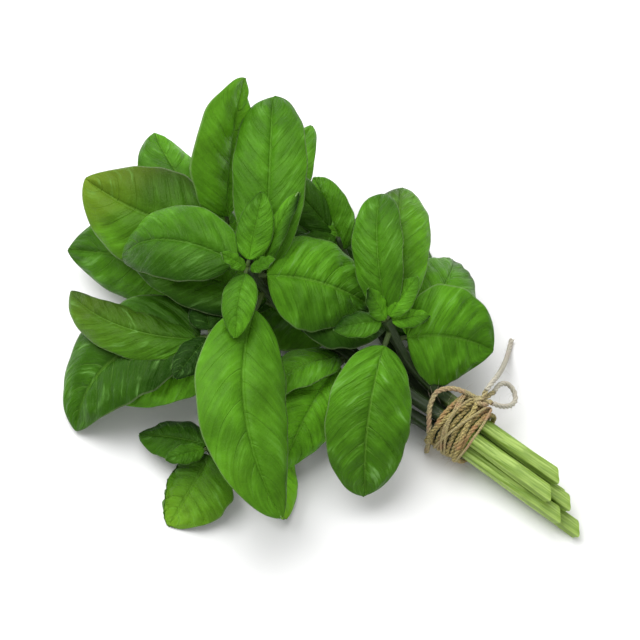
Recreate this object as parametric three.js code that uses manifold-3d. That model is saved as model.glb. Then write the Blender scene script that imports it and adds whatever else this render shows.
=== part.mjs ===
// A bunch of cut basil lying on its side, held together near the cut ends by a few turns of twine.
// Millimetres, +Z up. +X runs along the bunch from the cut ends to the leaves.
//
// Every point in the tables below is measured from the middle of the tie, along and across, and from the
// surface that the bunch lies on, up. The finished bunch is then moved so that its origin is at REST_SPOT,
// where its lowest leaf is pressed flat on that surface.

import * as THREE from 'three';
import { mergeVertices } from 'three/addons/utils/BufferGeometryUtils.js';
import Module from 'manifold-3d';

const wasm = await Module();
wasm.setup();

// ---------------------------------------------------------------- driving dimensions

const SURFACE = 0;                // height of the surface that the bunch lies on
const REST_SPOT = [105, 3];       // the origin, along and across from the middle of the tie
const BUNDLE_HEIGHT = 11.8;       // middle of the tied stems above the surface
const STEM_PITCH = 6.9;           // between the middles of neighbouring stems at the tie
const STEM_FLAT = 5.8;            // across the flats of the square stem
const STEM_CORNER = 3.0;          // width of each flat, between its blunted corners
const STEM_TIP_SCALE = 0.42;      // a stem's thickness at its tip, against its cut end
const STEM_LEAVING = 0.5;         // how long a stem keeps its line past the tie, as a share of its reach
const STEM_ARRIVING = 0.4;        // the same for its direction at the tip
const STEM_STEPS = 13;            // rings along a stem
const CUT_SLANT = 0.8;            // how far a cut face runs on for each mm towards +Y
const CUT_UNDER = 0.6;            // how far it hangs forward for each mm of its height

const BLADE_THICKNESS = 0.8;
const PETIOLE_WIDTH = 2.2;
const PETIOLE_THICKNESS = 1.8;
const PETIOLE_SHARE = 0.11;       // the petiole's part of a leaf's length
const PETIOLE_FADE = 0.35;        // where the last of the petiole's thickness has run out into the blade
const BLADE_BASE_POWER = 0.5;     // roundness of the blade towards its petiole
const BLADE_TIP_POWER = 0.7;      // pointedness of the blade towards its tip
const BLADE_BLUNT_POWER = 0.4;    // the same for a blunt blade
const BLADE_LEAST_WIDTH = 0.9;    // width of the blunt end of the tip
const MIDRIB_FOLD = 18;           // each half rises this many degrees from the midrib
const SCALLOP = 0.035;            // depth of the waved margin, as a share of the half width
const EDGE_RIPPLE = 0.9;          // height of the waves in the margin
const RIPPLE_TURNS = 21;          // radians of those waves along a leaf
const RIPPLE_LAG = 1.3;           // radians by which they differ from the midrib on either hand
const LEAF_STEPS = 10;
const LEAF_STRIPS = 4;
const YOUNG_STEPS = 6;
const YOUNG_STRIPS = 2;
const YOUNG_LENGTH = 32;          // a leaf shorter than this is a young one

const TWINE = 2.2;                // diameter of the twine
const TWINE_GAP = 0.62;           // between the twine and the stems inside it
const TURN_SIDES = 6;
const FREE_TWINE_SIDES = 8;
const TURN_STEPS = 20;            // rings round one turn of the twine
const FREE_TWINE_STEPS = 12;      // rings along the bow loop, the tail and the loose end

// ---------------------------------------------------------------- colours

const BRIGHT_GREEN = { color: 0x5a9424, roughness: 0.45, metalness: 0 };
const MID_GREEN = { color: 0x44801e, roughness: 0.45, metalness: 0 };
const DARK_GREEN = { color: 0x2c6014, roughness: 0.5, metalness: 0 };
const TWINE_TAN = { color: 0x94703c, roughness: 0.9, metalness: 0 };

// ---------------------------------------------------------------- the seven stems
// place: where the stem lies in the tied bundle, in stem pitches across (Y) and up (Z) from its middle
// end:   the middle of the cut end
// tip:   the growing tip, and the heading and rise of the stem there, in degrees
// Headings are measured in plan from +X towards +Y, and rises from level.
//
// Each leaf has how far below the tip it grows, its heading and rise where it leaves the stem, length,
// width, the droop from its base to its tip, its roll about its midrib and how far its halves cup. A leaf
// that bends to one side has its sway from its base to its tip, and a blunt one how blunt it is, up to 1.

const ROW = Math.sqrt(3) / 2;

const SPRIGS = [
  {
    name: 'sprig_crown',
    finish: BRIGHT_GREEN,
    place: [0.5, ROW],
    end: [-43, 4.2, 15.9],
    tip: [95, 17, 62], heading: 10, rise: 62,
    leaves: [
      { below: 0, heading: 114, rise: 7, length: 30, width: 14, droop: 45, roll: 3, cup: 53, sway: 10 },
      { below: 0, heading: -65, rise: 34, length: 30, width: 15, droop: 15, roll: 0, cup: 60 },
      { below: 1, heading: 30, rise: 45, length: 14, width: 7, droop: 10, roll: 0, cup: 50 },
      { below: 1, heading: 210, rise: 45, length: 14, width: 7, droop: 10, roll: 0, cup: 50 },
      { below: 3, heading: 6, rise: 15, length: 66, width: 33, droop: 80, roll: -11, cup: 50, sway: 37 },
      { below: 5, heading: -131, rise: -11, length: 50, width: 42, droop: 13, roll: 14, cup: 60, sway: -34 },
      { below: 8, heading: -75, rise: 43, length: 39, width: 9, droop: 42, roll: -8, cup: 54, sway: -6 },
      { below: 14, heading: 105, rise: 8, length: 98, width: 38, droop: 29, roll: -13, cup: 60, sway: 63 },
      {
        below: 14, heading: -56, rise: 41, length: 86, width: 30, droop: 67, roll: -1, cup: 45, sway: 5,
        blunt: 0.7,
      },
      { below: 26, heading: 17, rise: 15, length: 66, width: 30, droop: 40, roll: 0, cup: 70 },
      { below: 26, heading: -140, rise: 5, length: 46, width: 36, droop: 45, roll: 0, cup: 60 },
      { below: 60, heading: 55, rise: 28, length: 43, width: 23, droop: 79, roll: 25, cup: 50, sway: -2 },
      { below: 59, heading: 92, rise: 8, length: 55, width: 31, droop: 49, roll: -23, cup: 75, sway: 29 },
    ],
  },
  {
    name: 'sprig_short',
    finish: BRIGHT_GREEN,
    place: [-0.5, ROW],
    end: [-41, -4, 15.5],
    tip: [42, -3, 50], heading: 0, rise: 65,
    leaves: [
      { below: 0, heading: -92, rise: 38, length: 21, width: 11, droop: 30, roll: 0, cup: 60 },
      { below: 0, heading: 50, rise: 12, length: 21, width: 12, droop: 30, roll: 0, cup: 60 },
      { below: 1, heading: -125, rise: 0, length: 18, width: 9, droop: 30, roll: 0, cup: 60 },
      { below: 1, heading: 0, rise: 60, length: 18, width: 9, droop: 10, roll: 0, cup: 60 },
      {
        below: 5, heading: -32, rise: 49, length: 59, width: 21, droop: 80, roll: -29, cup: 45, sway: -1,
        blunt: 0.8,
      },
      {
        below: 5, heading: 108, rise: -7, length: 69, width: 34, droop: 55, roll: -9, cup: 50, sway: 26,
        blunt: 0.55,
      },
      {
        below: 8, heading: -56, rise: 28, length: 72, width: 28, droop: 68, roll: 0, cup: 70, sway: 1,
        blunt: 0.8,
      },
      { below: 11, heading: -124, rise: -5, length: 42, width: 42, droop: 2, roll: 40, cup: 50, sway: -39 },
      { below: 20, heading: -84, rise: 10, length: 66, width: 32, droop: 72, roll: 14, cup: 59, sway: 7 },
    ],
  },
  {
    name: 'sprig_front',
    finish: MID_GREEN,
    place: [0, 0],
    end: [-50, 0, 9.4],
    tip: [120, 1, 46], heading: 0, rise: 45,
    leaves: [
      { below: 0, heading: 70, rise: 50, length: 16, width: 8, droop: 20, roll: 0, cup: 60 },
      { below: 0, heading: 200, rise: 50, length: 18, width: 8, droop: 20, roll: 0, cup: 60 },
      { below: 2, heading: -50, rise: 53, length: 63, width: 44, droop: 0, roll: 60, cup: 70, sway: -32 },
      { below: 14, heading: -4, rise: 13, length: 72, width: 37, droop: 17, roll: 19, cup: 63, sway: -36 },
      { below: 3, heading: 31, rise: -2, length: 66, width: 45, droop: 12, roll: -22, cup: 60, sway: -34 },
      { below: 24, heading: 29, rise: 2, length: 87, width: 43, droop: 36, roll: -37, cup: 59, sway: 7 },
      { below: 24, heading: -58, rise: 16, length: 74, width: 26, droop: 40, roll: -22, cup: 58, sway: -10 },
      { below: 45, heading: 5, rise: -2, length: 80, width: 36, droop: 38, roll: 0, cup: 60 },
    ],
  },
  {
    name: 'sprig_left',
    finish: MID_GREEN,
    place: [1, 0],
    end: [-50, 6.8, 9.6],
    tip: [96, 40, 40], heading: 35, rise: 40,
    leaves: [
      { below: 0, heading: 95, rise: 10, length: 24, width: 14, droop: 20, roll: 0, cup: 60 },
      { below: 0, heading: -42, rise: 5, length: 20, width: 15, droop: 20, roll: 0, cup: 60 },
      { below: 3, heading: 45, rise: 0, length: 74, width: 24, droop: 34, roll: -1, cup: 78, sway: -66 },
      { below: 6, heading: 21, rise: -2, length: 82, width: 45, droop: 62, roll: -4, cup: 40, sway: 76 },
      { below: 15, heading: 51, rise: -7, length: 58, width: 28, droop: 40, roll: 0, cup: 70 },
    ],
  },
  {
    name: 'sprig_left_low',
    finish: BRIGHT_GREEN,
    place: [0.5, -ROW],
    end: [-58, 4.3, 3],
    tip: [74, 70, 14], heading: 60, rise: 10,
    leaves: [
      { below: 0, heading: 60, rise: 20, length: 18, width: 9, droop: 20, roll: 0, cup: 60 },
      { below: 3, heading: 19, rise: -3, length: 33, width: 20, droop: 25, roll: 6, cup: 59, sway: 4 },
      { below: 3, heading: 96, rise: -21, length: 36, width: 38, droop: 0, roll: 26, cup: 80, sway: -2 },
      { below: 25, heading: 143, rise: -4, length: 38, width: 19, droop: 12, roll: -11, cup: 69, sway: -4 },
    ],
  },
  {
    name: 'sprig_right',
    finish: DARK_GREEN,
    place: [-1, 0],
    end: [-38, -6.4, 9.5],
    tip: [84, -27, 40], heading: -30, rise: 35,
    leaves: [
      { below: 0, heading: 60, rise: 30, length: 18, width: 9, droop: 20, roll: 0, cup: 60 },
      { below: 10, heading: -28, rise: 43, length: 40, width: 19, droop: 68, roll: -26, cup: 62, sway: 20 },
      { below: 2, heading: -4, rise: 34, length: 44, width: 18, droop: 36, roll: 0, cup: 60 },
      { below: 18, heading: -66, rise: 0, length: 42, width: 28, droop: 50, roll: 0, cup: 60 },
    ],
  },
  {
    name: 'sprig_right_low',
    finish: DARK_GREEN,
    place: [-0.5, -ROW],
    end: [-46, -3.5, 3],
    tip: [76, -32, 15], heading: -35, rise: 8,
    leaves: [
      { below: 3, heading: -62, rise: 4, length: 42, width: 22, droop: 36, roll: 0, cup: 60 },
      { below: 3, heading: -8, rise: 0, length: 66, width: 30, droop: 36, roll: 0, cup: 60 },
      { below: 15, heading: -84, rise: 3, length: 44, width: 28, droop: 40, roll: 0, cup: 60 },
      { below: 15, heading: 33, rise: -16, length: 58, width: 44, droop: 4, roll: 0, cup: 25 },
      { below: 30, heading: -108, rise: 6, length: 42, width: 28, droop: 20, roll: 0, cup: 60 },
    ],
  },
];

// ---------------------------------------------------------------- the twine's turns and free lengths
// along: where the turn lies on the stems, from the middle of the tie
// lean:  how far it strays to and fro along them, starting at the angle phase, in degrees
// lift:  how far it rides up on the turns below it, on top of the bundle

const TURNS = [
  { along: -6.0, lean: 0.5, phase: 60, lift: 0 },
  { along: -3.6, lean: 0.6, phase: 60, lift: 0 },
  { along: -1.2, lean: 0.7, phase: 60, lift: 0 },
  { along: 1.3, lean: 0.8, phase: 60, lift: 0 },
  { along: 3.8, lean: 0.9, phase: 60, lift: 0 },
  { along: 6.4, lean: 1.1, phase: 60, lift: 0.2 },
  { along: -1.2, lean: 3.8, phase: 250, lift: 1.8 },
  { along: 4.8, lean: 4.2, phase: 110, lift: 1.9 },
];

const KNOT = [-0.8, -10, 22];
const KNOT_RADIUS = 2.3;
const KNOT_STEPS = 14;
const KNOT_LOOPS = [
  { tilt: 40, turn: 0, along: 0 },
  { tilt: 80, turn: 70, along: 0.8 },
];

// The loose end lies over the bundle from the knot and hangs down its far side.
const LOOSE_END = [
  [1.3, -10, 22], [6, -8, 25], [10.8, -5.4, 26.4], [14.4, -1.2, 25.8], [13.8, 3.9, 24.6],
  [12.2, 7.2, 22.2], [9.8, 10.2, 18.4], [8.2, 12.2, 13], [8, 12.8, 7], [8.6, 12.4, 1.6],
];

// The bow loop leaves the knot, sags beside the bundle and comes back to the knot.
const BOW_LOOP = [
  [-4.9, -12, 22.2], [-7.1, -14, 19.6], [-8.6, -16.6, 17.1], [-9.4, -19.6, 14.9], [-8.9, -22.8, 13.7],
  [-6.5, -25.3, 14.1], [-3.6, -25.6, 16.1], [-1.9, -23.6, 18.4], [-1.6, -20.4, 20.4], [-2.2, -16.8, 21.8],
];

// The tail leaves the knot, bends down and ends on the surface.
const TAIL = [
  [-0.3, -13.7, 25.4], [0, -17.4, 25.2], [0.9, -23, 21.8], [3.7, -31.8, 14],
  [7.2, -40.6, 6], [10, -46.8, 1.7], [11.8, -50.8, 1.2],
];

// ---------------------------------------------------------------- solids from three.js geometry

const WELD = 1e-4;                // vertices nearer than this are one
const UNDERSIDE = 5;              // the group of a BoxGeometry's faces that face down
const PER_SQUARE = 6;             // index entries of one square of a BoxGeometry's face

function asSolid(geometry) {
  const bare = geometry.clone();
  bare.deleteAttribute('normal');
  bare.deleteAttribute('uv');
  const merged = mergeVertices(bare, WELD);
  return new wasm.Manifold(new wasm.Mesh({
    numProp: 3,
    vertProperties: new Float32Array(merged.attributes.position.array),
    triVerts: new Uint32Array(merged.index.array),
  }));
}

function asGeometry(solid) {
  const mesh = solid.getMesh();
  const geometry = new THREE.BufferGeometry();
  geometry.setAttribute('position', new THREE.BufferAttribute(new Float32Array(mesh.vertProperties), 3));
  geometry.setIndex(new THREE.BufferAttribute(new Uint32Array(mesh.triVerts), 1));
  geometry.computeVertexNormals();
  return geometry;
}

// Joins solids into one body. A pocket that the joining seals off is filled.
function fuse(solids) {
  const joined = wasm.Manifold.union(solids);
  return joined.decompose().reduce((a, b) => (b.volume() > a.volume() ? b : a));
}

function direction(heading, rise) {
  const h = THREE.MathUtils.degToRad(heading);
  const r = THREE.MathUtils.degToRad(rise);
  return new THREE.Vector3(Math.cos(r) * Math.cos(h), Math.cos(r) * Math.sin(h), Math.sin(r));
}

// ---------------------------------------------------------------- stems

function stemPath(sprig) {
  const tie = new THREE.Vector3(0, sprig.place[0] * STEM_PITCH, BUNDLE_HEIGHT + sprig.place[1] * STEM_PITCH);
  const end = new THREE.Vector3(...sprig.end);
  const tip = new THREE.Vector3(...sprig.tip);
  const chord = tie.distanceTo(tip);
  const leaving = tie.clone().add(tie.clone().sub(end).setLength(chord * STEM_LEAVING));
  const arriving = tip.clone().addScaledVector(direction(sprig.heading, sprig.rise), -chord * STEM_ARRIVING);
  const path = new THREE.CurvePath();
  path.add(new THREE.LineCurve3(end, tie));
  path.add(new THREE.CubicBezierCurve3(tie, leaving, arriving, tip));
  return path;
}

function stemSection() {
  const flat = STEM_FLAT / 2;
  const corner = STEM_CORNER / 2;
  const section = new THREE.Shape();
  section.moveTo(flat, -corner);
  section.lineTo(flat, corner);
  section.lineTo(corner, flat);
  section.lineTo(-corner, flat);
  section.lineTo(-flat, corner);
  section.lineTo(-flat, -corner);
  section.lineTo(-corner, -flat);
  section.lineTo(corner, -flat);
  section.closePath();
  return section;
}

function stemSolid(sprig) {
  const path = stemPath(sprig);
  const geometry = new THREE.ExtrudeGeometry(stemSection(), {
    depth: 1,
    steps: STEM_STEPS,
    bevelEnabled: false,
  });
  const position = geometry.attributes.position;
  const vertex = new THREE.Vector3();
  const worldUp = new THREE.Vector3(0, 0, 1);
  for (let i = 0; i < position.count; i += 1) {
    vertex.fromBufferAttribute(position, i);
    const along = THREE.MathUtils.clamp(vertex.z, 0, 1);
    const tangent = path.getTangent(along).normalize();
    const side = new THREE.Vector3().crossVectors(worldUp, tangent).normalize();
    const top = new THREE.Vector3().crossVectors(tangent, side);
    const scale = THREE.MathUtils.lerp(1, STEM_TIP_SCALE, along);
    const slant = along === 0 ? -CUT_SLANT * vertex.x - CUT_UNDER * vertex.y : 0;
    const placed = path.getPoint(along)
      .addScaledVector(side, vertex.x * scale)
      .addScaledVector(top, vertex.y * scale)
      .addScaledVector(tangent, slant);
    placed.z = Math.max(placed.z, SURFACE);
    position.setXYZ(i, placed.x, placed.y, placed.z);
  }
  return asSolid(geometry);
}

// ---------------------------------------------------------------- leaves

// The midrib, as a list of frames: point, tangent, side and normal.
function midrib(leaf, root, steps) {
  const tangent = direction(leaf.heading, leaf.rise);
  const heading = THREE.MathUtils.degToRad(leaf.heading);
  const side = new THREE.Vector3(-Math.sin(heading), Math.cos(heading), 0);
  side.applyAxisAngle(tangent, THREE.MathUtils.degToRad(leaf.roll));
  const point = root.clone();
  const frames = [];
  let bent = 0;
  for (let i = 0; i <= steps; i += 1) {
    const normal = new THREE.Vector3().crossVectors(tangent, side);
    frames.push({ point: point.clone(), tangent: tangent.clone(), side: side.clone(), normal });
    const next = THREE.MathUtils.degToRad(leaf.droop) * ((i + 1) / steps) ** 1.5;
    const turn = (next - bent) / 2;
    bent = next;
    tangent.applyAxisAngle(side, turn);
    point.addScaledVector(tangent, leaf.length / steps);
    tangent.applyAxisAngle(side, turn);
    const sway = THREE.MathUtils.degToRad(leaf.sway ?? 0) / steps;
    tangent.applyAxisAngle(normal, sway);
    side.applyAxisAngle(normal, sway);
  }
  return frames;
}

// Half the width of the blade at a share t of the leaf's length.
function halfWidth(leaf, t) {
  const along = (t - PETIOLE_SHARE) / (1 - PETIOLE_SHARE);
  if (along <= 0) return PETIOLE_WIDTH / 2;
  const tipPower = THREE.MathUtils.lerp(BLADE_TIP_POWER, BLADE_BLUNT_POWER, leaf.blunt ?? 0);
  const peak = BLADE_BASE_POWER / (BLADE_BASE_POWER + tipPower);
  const outline = (x) => x ** BLADE_BASE_POWER * (1 - x) ** tipPower;
  const blade = (leaf.width / 2) * (outline(along) / outline(peak));
  const least = along < peak ? PETIOLE_WIDTH / 2 : BLADE_LEAST_WIDTH / 2;
  return Math.max(blade, least);
}

function leafSolid(leaf, root) {
  const young = leaf.length < YOUNG_LENGTH;
  const steps = young ? YOUNG_STEPS : LEAF_STEPS;
  const strips = young ? YOUNG_STRIPS : LEAF_STRIPS;
  const frames = midrib(leaf, root, steps);
  // A box 1 long, and from -1 to 1 across and through the blade.
  const geometry = new THREE.BoxGeometry(1, 2, 2, steps, strips, 1);
  const position = geometry.attributes.position;
  const fold = THREE.MathUtils.degToRad(-MIDRIB_FOLD);
  const cup = THREE.MathUtils.degToRad(leaf.cup);
  const vertex = new THREE.Vector3();
  for (let i = 0; i < position.count; i += 1) {
    vertex.fromBufferAttribute(position, i);
    const ring = Math.round((vertex.x + 0.5) * steps);
    const t = ring / steps;
    const across = Math.abs(vertex.y);
    const hand = Math.sign(vertex.y);
    const face = vertex.z;
    const frame = frames[ring];
    const petiole = 1 - THREE.MathUtils.smoothstep(t, PETIOLE_SHARE, PETIOLE_FADE);
    const scallop = young || petiole > 0 ? 1 : 1 + SCALLOP * Math.cos(Math.PI * ring);
    const half = halfWidth(leaf, t) * scallop;
    const slope = fold + cup * across;
    const out = half * (Math.sin(slope) - Math.sin(fold)) / cup;
    const down = half * (Math.cos(fold) - Math.cos(slope)) / cup;
    const wave = Math.sin(t * RIPPLE_TURNS + hand * RIPPLE_LAG + leaf.heading);
    const ripple = EDGE_RIPPLE * across ** 2 * (1 - petiole) * wave;
    const thickness = THREE.MathUtils.lerp(BLADE_THICKNESS, PETIOLE_THICKNESS, petiole);
    const placed = frame.point.clone()
      .addScaledVector(frame.side, hand * (out + face * Math.sin(slope) * thickness / 2))
      .addScaledVector(frame.normal, ripple - down + face * Math.cos(slope) * thickness / 2);
    placed.z = Math.max(placed.z, SURFACE + (face > 0 ? BLADE_THICKNESS : 0));
    position.setXYZ(i, placed.x, placed.y, placed.z);
  }
  return asSolid(turnDiagonals(geometry));
}

// The underside of a box has its squares split the other way from the top. This splits them alike.
function turnDiagonals(geometry) {
  const { start, count } = geometry.groups[UNDERSIDE];
  const index = geometry.index.array;
  for (let i = start; i < start + count; i += PER_SQUARE) {
    const [a, b, d] = [index[i], index[i + 1], index[i + 2]];
    const c = index[i + 4];
    index.set([a, b, c, a, c, d], i);
  }
  return geometry;
}

function leafRoot(sprig, leaf) {
  const path = stemPath(sprig);
  return path.getPoint(1 - leaf.below / path.getLength());
}

function sprigSolid(sprig) {
  const leaves = sprig.leaves.map((leaf) => leafSolid(leaf, leafRoot(sprig, leaf)));
  return fuse([stemSolid(sprig), ...leaves]);
}

// ---------------------------------------------------------------- the twine

// Distance from the middle of the bundle to the middle of a turn of twine, at an angle round the
// bundle. The turn bends round the six outer stems and runs straight between them.
function turnRadius(angle) {
  const sixth = Math.PI / 3;
  const fromFlat = ((angle % sixth) + sixth) % sixth - sixth / 2;
  const stemRadius = Math.hypot(STEM_FLAT, STEM_CORNER) / 2;
  const flat = STEM_PITCH * Math.cos(sixth / 2);
  return Math.min(flat / Math.cos(fromFlat), STEM_PITCH) + stemRadius + TWINE_GAP + TWINE / 2;
}

// One turn: a ring bent to the bundle's outline, leaning to and fro along the stems.
function turnSolid(turn) {
  const radius = turnRadius(0);
  const geometry = new THREE.TorusGeometry(radius, TWINE / 2, TURN_SIDES, TURN_STEPS);
  const position = geometry.attributes.position;
  const vertex = new THREE.Vector3();
  for (let i = 0; i < position.count; i += 1) {
    vertex.fromBufferAttribute(position, i);
    const angle = Math.atan2(vertex.y, vertex.x);
    const lift = turn.lift * (1 + Math.sin(angle)) / 2;
    const reach = Math.hypot(vertex.x, vertex.y) - radius + turnRadius(angle) + lift;
    const along = turn.along + vertex.z + turn.lean * Math.sin(angle + THREE.MathUtils.degToRad(turn.phase));
    const height = BUNDLE_HEIGHT + reach * Math.sin(angle);
    position.setXYZ(i, along, reach * Math.cos(angle), Math.max(height, SURFACE));
  }
  return asSolid(geometry);
}

// The knot: two tight loops of twine, one lying on the turns and one standing through it.
function knotSolids() {
  return KNOT_LOOPS.map((loop) => {
    const geometry = new THREE.TorusGeometry(KNOT_RADIUS, TWINE / 2, TURN_SIDES, KNOT_STEPS);
    geometry.rotateX(THREE.MathUtils.degToRad(loop.tilt));
    geometry.rotateZ(THREE.MathUtils.degToRad(loop.turn));
    geometry.translate(KNOT[0] + loop.along, KNOT[1], KNOT[2]);
    return asSolid(geometry);
  });
}

function twineSection() {
  const section = new THREE.Shape();
  section.absarc(0, 0, TWINE / 2, 0, Math.PI * 2, false);
  return section;
}

// A free length of twine that follows a list of points.
function freeTwineSolid(points) {
  const route = new THREE.CatmullRomCurve3(points.map((point) => new THREE.Vector3(...point)));
  return asSolid(new THREE.ExtrudeGeometry(twineSection(), {
    curveSegments: FREE_TWINE_SIDES / 2,
    steps: FREE_TWINE_STEPS,
    extrudePath: route,
  }));
}

// ---------------------------------------------------------------- the bunch

const bunch = new THREE.Group();
bunch.position.set(-REST_SPOT[0], -REST_SPOT[1], -SURFACE);

function addNode(name, solid, finish) {
  const mesh = new THREE.Mesh(asGeometry(solid), new THREE.MeshStandardMaterial(finish));
  mesh.name = name;
  bunch.add(mesh);
}

for (const sprig of SPRIGS) {
  addNode(sprig.name, sprigSolid(sprig), sprig.finish);
}
addNode('twine_tie', fuse([...TURNS.map(turnSolid), ...knotSolids(), freeTwineSolid(LOOSE_END)]), TWINE_TAN);
addNode('twine_bow_loop', freeTwineSolid(BOW_LOOP), TWINE_TAN);
addNode('twine_tail', freeTwineSolid(TAIL), TWINE_TAN);

export default bunch;
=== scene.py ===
"""A bunch of cut basil tied with jute twine: leaves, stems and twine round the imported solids."""

import bisect
import random
from math import cos, exp, hypot, pi, radians, sin, sqrt, tau
from typing import NamedTuple

import bmesh
import bpy
from mathutils import Matrix, Quaternion, Vector, noise
from mathutils.geometry import interpolate_bezier


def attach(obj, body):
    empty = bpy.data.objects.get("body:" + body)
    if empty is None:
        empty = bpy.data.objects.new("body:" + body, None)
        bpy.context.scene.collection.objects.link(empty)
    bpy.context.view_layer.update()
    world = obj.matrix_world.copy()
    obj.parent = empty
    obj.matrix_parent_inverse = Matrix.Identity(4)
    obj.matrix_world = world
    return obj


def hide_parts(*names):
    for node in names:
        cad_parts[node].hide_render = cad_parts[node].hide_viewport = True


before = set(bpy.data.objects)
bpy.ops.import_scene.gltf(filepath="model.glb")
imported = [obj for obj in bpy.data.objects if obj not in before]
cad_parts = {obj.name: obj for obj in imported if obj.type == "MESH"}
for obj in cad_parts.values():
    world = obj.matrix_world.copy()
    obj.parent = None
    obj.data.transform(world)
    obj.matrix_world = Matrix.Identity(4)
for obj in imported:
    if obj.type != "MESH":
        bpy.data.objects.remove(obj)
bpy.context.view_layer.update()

bl_info = {
    "name": "Basil bunch",
    "version": (1, 0, 0),
    "blender": (4, 5, 0),
    "location": "3D View > Sidebar > Basil",
    "description": "Dresses the solids of a tied bunch of basil in leaves, stems and twine",
    "category": "Add Mesh",
}

# -------------------- the plan of the bunch
# Every table is in millimetres and degrees. Points are measured from the middle of the tie and from
# the surface that the bunch lies on. TO_FRAME takes them to the frame, which starts at REST_SPOT.

MM = 0.001
REST_SPOT = Vector((105.0, 3.0, 0.0))
TO_FRAME = Matrix.Scale(MM, 4) @ Matrix.Translation(-REST_SPOT)

BUNDLE_HEIGHT = 11.8
STEM_PITCH = 6.9
ROW = sqrt(3) / 2
STEM_LEAVING = 0.5
STEM_ARRIVING = 0.4
STEM_POINTS = 160


class Leaf(NamedTuple):
    """One leaf: how far below the stem's tip it grows, how it points and bends, and how it looks.

    A tint of 0 is the dark green and 2 the bright one. It is partly the leaf's own tone and partly
    painted light and shade: leaves deep in the bunch are painted darker, and one in the shadow of
    another is painted brighter. Slope is painted light and shade across the leaf: it adds to the
    tint on the anticlockwise side of the leaf and takes from it on the other. Fade is painted light
    and
    shade along the leaf: it adds at the tip and takes from the base. Warmth is how far the tip has
    turned towards yellow.
    """

    below: float
    heading: float
    rise: float
    length: float
    width: float
    droop: float
    tint: float
    slope: float = 0.0
    fade: float = 0.0
    cup: float = 60.0
    roll: float = 0.0
    sway: float = 0.0
    blunt: float = 0.0
    pucker: float = 1.0
    warmth: float = 0.0


class Sprig(NamedTuple):
    """One leafy stem: its place in the tied bundle, its cut end, its growing tip and its leaves."""

    name: str
    slot: str
    place: tuple
    end: tuple
    tip: tuple
    heading: float
    rise: float
    leaves: tuple


# The tints, slopes and fades of the leaves below hold painted light and shade as well as each
# leaf's own tone.
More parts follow.
